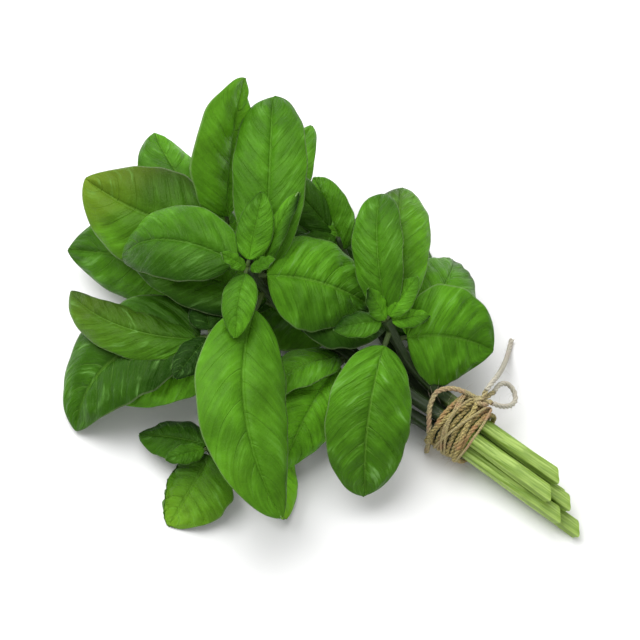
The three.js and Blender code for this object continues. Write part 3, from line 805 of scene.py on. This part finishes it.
class Rib:
    """The midrib of a leaf: where it runs, and the side and upward normal of the blade along it."""

    STEPS = 80

    def __init__(self, leaf, root):
        tangent = direction(leaf.heading, leaf.rise)
        heading = radians(leaf.heading)
        side = Vector((-sin(heading), cos(heading), 0.0))
        side.rotate(Quaternion(tangent, radians(leaf.roll)))
        point = root.copy()
        sway = radians(leaf.sway) / self.STEPS
        bent = 0.0
        self.frames = []
        for step in range(self.STEPS + 1):
            normal = tangent.cross(side)
            self.frames.append((point.copy(), side.copy(), normal))
            aim = radians(leaf.droop) * ((step + 1) / self.STEPS) ** DROOP_POWER
            half_turn = Quaternion(side, (aim - bent) / 2)
            bent = aim
            tangent.rotate(half_turn)
            point += tangent * leaf.length / self.STEPS
            tangent.rotate(half_turn)
            turn = Quaternion(normal, sway)
            tangent.rotate(turn)
            side.rotate(turn)

    def at(self, share):
        spot = min(max(share, 0.0), 1.0) * self.STEPS
        low = min(int(spot), self.STEPS - 1)
        part = spot - low
        return tuple(a.lerp(b, part) for a, b in zip(self.frames[low], self.frames[low + 1]))


def half_width(leaf, along):
    """Half the width of the blade at a share of its own length."""
    tip_power = TIP_POWER + (BLUNT_POWER - TIP_POWER) * leaf.blunt
    peak = BASE_POWER / (BASE_POWER + tip_power)
    if along <= 0.0:
        return PETIOLE_WIDTH / 2
    full = peak ** BASE_POWER * (1 - peak) ** tip_power
    blade = leaf.width / 2 * along ** BASE_POWER * (1 - min(along, 1.0)) ** tip_power / full
    least = PETIOLE_WIDTH if along < peak else BLADE_LEAST_WIDTH
    return max(blade, least / 2)


def add_blade(bm, leaf, rib, settings, dice):
    """Adds the upper face of a blade: cupped, waved at its margin and swollen between its veins."""
    young = leaf.length < YOUNG_LENGTH
    columns, rows = YOUNG_GRID if young else BLADE_GRID
    scallop = 0.0 if young else SCALLOP
    size = min(leaf.width / FULL_WIDTH, LARGEST_SIZE)
    pucker = settings.pucker / MM * size * leaf.pucker
    groove = settings.groove / MM * size
    cup = radians(leaf.cup)
    lag = dice.uniform(0.0, 1.0)
    shift = Vector(tuple(dice.uniform(0, NOISE_SPAN) for _ in range(3)))
    tint, warmth, relief = (bm.verts.layers.float[layer] for layer in LEAF_LAYERS)

    def share_of(row):
        """Crowds the rows of faces towards both ends of the blade."""
        return 0.5 - 0.5 * cos(pi * row)

    def phase(along, across):
        """Counts the lateral veins. The two halves of a blade are out of step."""
        late = lag if across < 0 else 0.5 * lag
        return VEINS * (along - VEIN_SWEEP * abs(across) ** VEIN_CURVE) + late

    def place(column, row):
        across = 1.0 - 2.0 * column
        along = share_of(row)
        hand = 1.0 if across >= 0 else -1.0
        out_share = abs(across)
        share = PETIOLE_SHARE + (1.0 - PETIOLE_SHARE) * along
        point, side, normal = rib.at(share)
        blade = smoothstep(PETIOLE_SHARE, PETIOLE_FADE, share)
        waves = cos(tau * SCALLOPS * share)
        half = half_width(leaf, along) * (1.0 + scallop * blade * waves)
        slope = cup * out_share - MIDRIB_FOLD
        out = half * (sin(slope) + sin(MIDRIB_FOLD)) / cup
        down = half * (cos(MIDRIB_FOLD) - cos(slope)) / cup
        wave = sin(share * RIPPLE_RADIANS + hand * RIPPLE_LAG + leaf.heading)
        ripple = EDGE_RIPPLE * out_share ** 2 * blade * wave
        ends = smoothstep(0.0, BLADE_ENDS, along) * (1.0 - smoothstep(1.0 - BLADE_ENDS, 1.0, along))
        swell = abs(sin(pi * phase(along, across))) ** SWELL_POWER - SWELL_MIDDLE
        inner = smoothstep(*SWELL_STARTS, out_share) * (
            1.0 - SWELL_LOSS * smoothstep(*SWELL_FADES, out_share))
        lumps = noise.noise(shift + Vector((
            across * LUMPS_ACROSS, along * (LUMPS_ALONG + LUMPS_PUCKERED * leaf.pucker), hand)))
        strength = 1.0 + UNEVEN * noise.noise(shift + Vector((
            across * UNEVEN_ACROSS, along * UNEVEN_ALONG, UNEVEN_SPOT + hand)))
        lift = ends * inner * (pucker * strength * swell + LUMP_HEIGHT * size * lumps)
        lift -= groove * exp(-((out_share * half / GROOVE_REACH) ** 2)) * ends
        lift += SOLID_THICKNESS / 2
        out += sin(slope) * lift
        return point + side * hand * out + normal * (ripple - down + cos(slope) * lift)

    def uv_at(column, row):
        across = 1.0 - 2.0 * column
        return (phase(share_of(row), across), across)

    spots = add_sheet(bm, columns, rows, place, uv_at, SOLID_THICKNESS)
    for vert, (column, row) in spots.items():
        # The leaf's own tone with painted light and shade: slope paints one half lighter than the
        # other, and fade paints the tip lighter or darker than the base.
        shade = leaf.tint + leaf.slope * (1.0 - 2.0 * column) + leaf.fade * (2.0 * row - 1.0)
        vert[tint] = max(shade, 0.0)
        vert[warmth] = leaf.warmth * row**2
        vert[relief] = leaf.pucker


def make_leaves(sprig, materials, settings):
    """All the blades of one leafy stem, as one piece with a thickness."""
    dice = random.Random(sprig.name)
    bm = bmesh.new()
    for layer in LEAF_LAYERS:
        bm.verts.layers.float.new(layer)
    for leaf in sprig.leaves:
        add_blade(bm, leaf, Rib(leaf, leaf_root(sprig, leaf)), settings, dice)
    piece = make_piece(sprig.name.replace("sprig", "leaves"), bm, materials, sprig.name, sprig.slot)
    wall = piece.modifiers.new("thickness", "SOLIDIFY")
    wall.thickness = settings.thickness
    wall.offset = -1.0
    wall.material_offset = 1
    wall.material_offset_rim = 1
    return piece


# -------------------- stems and petioles
# A FLOOR is the least height of a piece's points over the surface that the bunch lies on.

STEM_STEP = 2.2
STEM_SIDES = 24
STEM_CORNERS = 4
STEM_GROOVE = 0.38 / 3
STEM_TIP_SCALE = 0.42
NODE_SWELL = 0.22
NODE_REACH = 2.2
CUT_SLANT = 0.8
CUT_UNDER = 0.6
CUT_REACH = 13.0
CUT_BEVEL = 0.25

# A petiole runs on under its blade, where it is the raised midrib. Its UV map starts far along a
# stem's, so that it takes nearly the full painted shade of the stems among the leaves.
PETIOLE_SIDES = 10
PETIOLE_STEPS = 30
PETIOLE_REACH = 0.86
PETIOLE_CHART = 51.5
PETIOLE_CHART_STRETCH = 0.05
PETIOLE_LEAST_SIZE = 0.55
PETIOLE_FULL_LENGTH = 130.0
PETIOLE_FLOOR = 0.1
MIDRIB_STARTS = (PETIOLE_SHARE * 0.6, PETIOLE_SHARE * 1.5)
MIDRIB_THINS = (PETIOLE_SHARE, 0.8)
MIDRIB_LOSS = 0.8
MIDRIB_THICKNESS = 1.5
MIDRIB_DROP = 0.6


def add_stem(bm, sprig, settings):
    """Adds one square stem, grooved on its flats, swollen where leaves grow and cut at a slant."""
    route = stem_route(sprig)
    steps = int(route.length / STEM_STEP)
    knots = sorted({leaf.below for leaf in sprig.leaves})
    world_up = Vector((0.0, 0.0, 1.0))

    def place(column, row):
        distance = route.length * row
        tangent = route.heading_at(distance)
        side = world_up.cross(tangent).normalized()
        top = tangent.cross(side)
        scale = (1.0 + (STEM_TIP_SCALE - 1.0) * row) * settings.width / MM / 2
        scale *= 1.0 + NODE_SWELL * sum(
            exp(-(((route.length - distance - below) / NODE_REACH) ** 2)) for below in knots)
        angle = tau * column
        radius = scale * (1.0 - STEM_GROOVE * cos(STEM_CORNERS * angle))
        across = radius * cos(angle)
        up = radius * sin(angle)
        slant = -(CUT_SLANT * across + CUT_UNDER * up) * max(0.0, 1.0 - distance / CUT_REACH)
        return route.at(distance) + side * across + top * up + tangent * slant

    caps = add_tube(bm, STEM_SIDES, steps, place, lambda column, row: (column, route.length * row))
    cut = min(caps, key=lambda face: face.calc_center_median().x)
    cut.material_index = 1
    bmesh.ops.bevel(
        bm, geom=list(cut.edges), affect="EDGES", offset=CUT_BEVEL, segments=2, profile=0.5,
        material=-1)


def add_petiole(bm, leaf, rib):
    """Adds a leaf's stalk, which runs on under the blade as its raised midrib."""
    frames = [rib.at(PETIOLE_REACH * step / PETIOLE_STEPS) for step in range(PETIOLE_STEPS + 1)]

    def place(column, row):
        point, side, normal = frames[round(row * PETIOLE_STEPS)]
        share = PETIOLE_REACH * row
        under = smoothstep(*MIDRIB_STARTS, share)
        thin = 1.0 - MIDRIB_LOSS * smoothstep(*MIDRIB_THINS, share)
        size = min(1.0, PETIOLE_LEAST_SIZE + leaf.length / PETIOLE_FULL_LENGTH)
        wide = size * thin * (PETIOLE_WIDTH * (1 - under) + MIDRIB_THICKNESS * under) / 2
        high = size * thin * (PETIOLE_THICKNESS * (1 - under) + MIDRIB_THICKNESS * under) / 2
        angle = tau * column
        drop = under * (high + MIDRIB_DROP)
        return point + side * wide * cos(angle) + normal * (high * sin(angle) - drop)

    def uv_at(column, row):
        return (column, PETIOLE_CHART + PETIOLE_CHART_STRETCH * leaf.length * row)

    add_tube(bm, PETIOLE_SIDES, PETIOLE_STEPS, place, uv_at, PETIOLE_FLOOR)


def make_stem(sprig, materials, settings):
    """One stem with the petioles of its leaves, as one piece."""
    bm = bmesh.new()
    add_stem(bm, sprig, settings)
    for leaf in sprig.leaves:
        add_petiole(bm, leaf, Rib(leaf, leaf_root(sprig, leaf)))
    return make_piece(sprig.name.replace("sprig", "stem"), bm, materials, sprig.name, "basil_stem")


# -------------------- twine
# Lengths are in millimetres.

PLIES = 3
PLY_SIDES = 6
STEPS_IN_TWIST = 12
# How far a strand's middle stands off the twine's, and its own radius, as shares of the diameter.
PLY_OFFSET = 0.235
PLY_RADIUS = 0.265
STRAND_FLOOR = 0.05
TWINE_RADIUS = 1.1
TURN_STEPS = 40
TURN_CROSSING = 0.82
KNOT_STEPS = 32

# How far the fibres of each length of twine are bleached, from 0 to 1, and how thick the wisps are.
FREE_BLEACH = 0.70
KNOT_BLEACH = 0.15
WISP_BLEACH = 0.10
WISP_SHARE = 0.5
TURNS_FUZZ_BLEACH = 0.3
LOOSE_FUZZ_BLEACH = 0.5
FREE_FUZZ_BLEACH = 0.8

HAIR_SPACING = 1.6
HAIR_SIDES = 3
HAIR_STEPS = 5
HAIR_WELD = 1e-5
HAIR_LENGTHS = (1.5, 4.5)
HAIR_RADIUS = 0.055
HAIR_ROOT = 0.35
HAIR_BEND = 0.4
HAIR_SAG = (-0.8, 0.4)
HAIR_TAPER = 0.7
HAIR_FLOOR = 0.1


def add_strands(bm, route, settings, bleach=0.0, share=1.0):
    """Adds the twisted strands of a length of twine."""
    paint = bm.verts.layers.float["bleach"]
    diameter = settings.diameter / MM * share
    twists = route.length / (settings.lay / MM * share)
    steps = int(twists * STEPS_IN_TWIST)
    frames = carried_frames(route, steps)
    known = set(bm.verts)

    def uv_at(column, row):
        return (column, route.length * row)

    for ply in range(PLIES):
        def place(column, row, ply=ply):
            point, side, top = frames[round(row * steps)]
            turn = tau * (ply / PLIES + row * twists)
            centre = side * cos(turn) + top * sin(turn)
            angle = tau * column
            flat = centre * cos(angle) + centre.cross(side.cross(top)) * sin(angle)
            return point + centre * diameter * PLY_OFFSET + flat * diameter * PLY_RADIUS

        add_tube(bm, PLY_SIDES, steps, place, uv_at, STRAND_FLOOR)
    for vert in set(bm.verts) - known:
        vert[paint] = bleach


def turn_radius(angle):
    """Distance from the bundle's middle to the middle of a turn of twine, at an angle round it."""
    sixth = pi / 3
    from_flat = angle % sixth - sixth / 2
    flat = STEM_PITCH * cos(sixth / 2)
    stem = hypot(STEM_FLAT, STEM_CORNER) / 2
    return min(flat / cos(from_flat), STEM_PITCH) + stem + TWINE_GAP + TWINE_RADIUS


def winding_route(turns):
    """The twine's way round the stems, turn after turn, starting and ending under the bundle."""
    points = []
    for step in range(len(turns) * TURN_STEPS):
        turn = turns[step // TURN_STEPS]
        after = turns[min(step // TURN_STEPS + 1, len(turns) - 1)]
        share = step % TURN_STEPS / TURN_STEPS
        angle = tau * share - pi / 2
        over = smoothstep(TURN_CROSSING, 1.0, share)

        def spot(one):
            lean = one.lean * sin(angle + radians(one.phase))
            return one.along + lean, one.lift * (1 + sin(angle)) / 2

        here, there = spot(turn), spot(after)
        along = here[0] + (there[0] - here[0]) * over
        reach = turn_radius(angle) + here[1] + (there[1] - here[1]) * over
        height = max(BUNDLE_HEIGHT + reach * sin(angle), TWINE_RADIUS)
        points.append((along, reach * cos(angle), height))
    return Route(points)


def knot_route(tilt, turn, along):
    """One tight loop of the knot, tilted, turned and moved along the stems."""
    turned = Matrix.Rotation(radians(turn), 4, "Z")
    turned = turned @ Matrix.Rotation(radians(tilt), 4, "X")
    points = []
    for step in range(KNOT_STEPS + 1):
        angle = tau * step / KNOT_STEPS
        spot = turned @ Vector((cos(angle), sin(angle), 0.0)) * KNOT_RADIUS
        points.append(spot + Vector(KNOT) + Vector((along, 0.0, 0.0)))
    return Route(points)


def make_twine(name, routes, material, settings, bleach=0.0, share=1.0):
    """Some lengths of twine as one piece, which stands for the node of its name or for the tie."""
    bm = bmesh.new()
    bm.verts.layers.float.new("bleach")
    for route in routes:
        add_strands(bm, route, settings, bleach, share)
    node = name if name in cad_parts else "twine_tie"
    return make_piece(name + "_strands", bm, [material], node, "jute_twine")


def add_hair(bm, root, aim, length, dice):
    """Adds one thin curved fibre that stands off the twine."""
    bend = Vector((dice.uniform(-1, 1), dice.uniform(-1, 1), dice.uniform(*HAIR_SAG)))
    bend = bend * length * HAIR_BEND
    side = aim.orthogonal().normalized()
    top = aim.cross(side)

    def place(column, row):
        angle = tau * column
        out = (side * cos(angle) + top * sin(angle)) * HAIR_RADIUS
        return root + aim * length * row + bend * row * row + out * (1.0 - HAIR_TAPER * row)

    def uv_at(column, row):
        return (column, length * row)

    add_tube(bm, HAIR_SIDES, HAIR_STEPS, place, uv_at, HAIR_FLOOR, HAIR_WELD)


def make_fuzz(routes, material, settings):
    """The loose fibres of all the twine, as one piece."""
    dice = random.Random("fuzz")
    bm = bmesh.new()
    paint = bm.verts.layers.float.new("bleach")
    for route, bleach in routes:
        known = set(bm.verts)
        for _ in range(int(route.length / HAIR_SPACING)):
            distance = dice.uniform(0.0, route.length)
            tangent = route.heading_at(distance)
            aside = Vector((dice.gauss(0, 1), dice.gauss(0, 1), dice.gauss(0, 1)))
            side = aside.cross(tangent).normalized()
            aim = (side * dice.uniform(0.4, 1.0) + tangent * dice.uniform(-1, 1)).normalized()
            root = route.at(distance) + side * settings.diameter / MM * HAIR_ROOT
            add_hair(bm, root, aim, dice.uniform(*HAIR_LENGTHS), dice)
        for vert in set(bm.verts) - known:
            vert[paint] = bleach
    return make_piece("twine_fuzz", bm, [material], "twine_tie", "jute_twine")


# -------------------- operators

# The camera looks at LOOK_AT. KEY_WAY leads from there to the key light: right, ahead and up, as
# the camera sees them.
LOOK_AT = (69.6, 3.6, 30.0)
SENSOR_WIDTH = 36.0
FLOOR_REACH = 3.0
KEY_WAY = (-0.30, 0.35, 1.0)
KEY_DISTANCE = 1.4
KEY_SIZE = 1.4
WHITE = (1.0, 1.0, 1.0, 1.0)


class BASIL_OT_stage(bpy.types.Operator):
    """Sets up the pale floor, the soft light and the camera"""

    bl_idname = "basil.stage"
    bl_label = "Stage"

    def execute(self, context):
        settings = context.scene.basil_stage
        azimuth, elevation = settings.azimuth, settings.elevation
        level = cos(elevation)
        back = Vector((sin(azimuth) * level, -cos(azimuth) * level, sin(elevation)))
        right = Vector((cos(azimuth), sin(azimuth), 0.0))
        ahead = Vector((-sin(azimuth), cos(azimuth), 0.0))
        target = TO_FRAME @ Vector(LOOK_AT)

        camera = add_object("camera", bpy.data.cameras.new("camera"))
        camera.data.lens = settings.lens
        camera.data.sensor_width = SENSOR_WIDTH
        camera.location = target + back * settings.distance
        camera.rotation_euler = (-back).to_track_quat("-Z", "Y").to_euler()
        context.scene.camera = camera

        bm = bmesh.new()
        bmesh.ops.create_grid(bm, x_segments=1, y_segments=1, size=FLOOR_REACH)
        add_mesh("floor", bm, [floor_material()])

        key = add_object("key", bpy.data.lights.new("key", "AREA"))
        key.data.energy = settings.key
        key.data.size = KEY_SIZE
        way = right * KEY_WAY[0] + ahead * KEY_WAY[1] + Vector((0.0, 0.0, KEY_WAY[2]))
        key.location = target + way.normalized() * KEY_DISTANCE
        key.rotation_euler = (target - key.location).to_track_quat("-Z", "Y").to_euler()

        world = bpy.data.worlds.new("studio")
        world.use_nodes = True
        sky = world.node_tree.nodes["Background"]
        sky.inputs["Color"].default_value = WHITE
        sky.inputs["Strength"].default_value = settings.sky
        context.scene.world = world
        context.scene.view_settings.view_transform = "Standard"
        return {"FINISHED"}


class BASIL_OT_free_twine(bpy.types.Operator):
    """Lays the bow loop and the tail of the twine, each a free cord"""

    bl_idname = "basil.free_twine"
    bl_label = "Bow loop and tail"

    def execute(self, context):
        settings = context.scene.basil_twine
        material = twine_material(settings)
        cords = (("twine_bow_loop", BOW_LOOP, "object"), ("twine_tail", TAIL, "bare"))
        for name, points, far_end in cords:
            route = smooth_route(points)
            piece = make_twine(name, [route], material, settings, FREE_BLEACH)
            path = [TO_FRAME @ point for point in route.points]
            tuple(path[0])
        return {"FINISHED"}


class BASIL_OT_tie(bpy.types.Operator):
    """Winds the twine round the stems, with its knot, loose end, stray turns and loose fibres"""

    bl_idname = "basil.tie"
    bl_label = "Twine tie"

    def execute(self, context):
        settings = context.scene.basil_twine
        material = bpy.data.materials["jute"]
        loose = smooth_route(LOOSE_END)
        winding = winding_route(TURNS)
        knots = [knot_route(*loop) for loop in KNOT_LOOPS]
        stubs = [smooth_route(stub) for stub in STUBS]
        make_twine("twine_turns", [winding], material, settings)
        make_twine("twine_knot", [*knots, loose, *stubs], material, settings, KNOT_BLEACH)
        wisps = winding_route(WISPS)
        make_twine("twine_wisps", [wisps], material, settings, WISP_BLEACH, WISP_SHARE)
        free = [(smooth_route(points), FREE_FUZZ_BLEACH) for points in (BOW_LOOP, TAIL)]
        fuzzy = [(winding, TURNS_FUZZ_BLEACH), (loose, LOOSE_FUZZ_BLEACH), *free]
        make_fuzz(fuzzy, material, settings)
        return {"FINISHED"}


class BASIL_OT_stems(bpy.types.Operator):
    """Grows the seven stems with the petioles of their leaves"""

    bl_idname = "basil.stems"
    bl_label = "Stems"

    def execute(self, context):
        settings = context.scene.basil_stem
        materials = [stem_material(settings), pith_material(settings)]
        for sprig in SPRIGS:
            make_stem(sprig, materials, settings)
        return {"FINISHED"}


class BASIL_OT_leaves(bpy.types.Operator):
    """Unfolds the blades of every leaf"""

    bl_idname = "basil.leaves"
    bl_label = "Leaves"

    def execute(self, context):
        settings = context.scene.basil_leaf
        materials = [leaf_upper_material(settings), leaf_under_material(settings)]
        for sprig in SPRIGS:
            make_leaves(sprig, materials, settings)
        return {"FINISHED"}


class BASIL_PT_bunch(bpy.types.Panel):
    """Lists the steps that dress the bunch"""

    bl_idname = "BASIL_PT_bunch"
    bl_label = "Basil bunch"
    bl_space_type = "VIEW_3D"
    bl_region_type = "UI"
    bl_category = "Basil"

    def draw(self, context):
        for operator in OPERATORS:
            self.layout.operator(operator.bl_idname)
        for name, group in SETTINGS:
            box = self.layout.box()
            for field in group.__annotations__:
                box.prop(getattr(context.scene, name), field)


OPERATORS = (BASIL_OT_stage, BASIL_OT_free_twine, BASIL_OT_tie, BASIL_OT_stems, BASIL_OT_leaves)


def register():
    for name, group in SETTINGS:
        bpy.utils.register_class(group)
        setattr(bpy.types.Scene, name, bpy.props.PointerProperty(type=group))
    for kind in (*OPERATORS, BASIL_PT_bunch):
        bpy.utils.register_class(kind)


def unregister():
    for kind in (BASIL_PT_bunch, *reversed(OPERATORS)):
        bpy.utils.unregister_class(kind)
    for name, group in reversed(SETTINGS):
        delattr(bpy.types.Scene, name)
        bpy.utils.unregister_class(group)


def main():
    register()
    bpy.ops.basil.stage()
    bpy.ops.basil.free_twine()
    bpy.ops.basil.tie()
    bpy.ops.basil.stems()
    bpy.ops.basil.leaves()


if __name__ == "__main__":
    main()
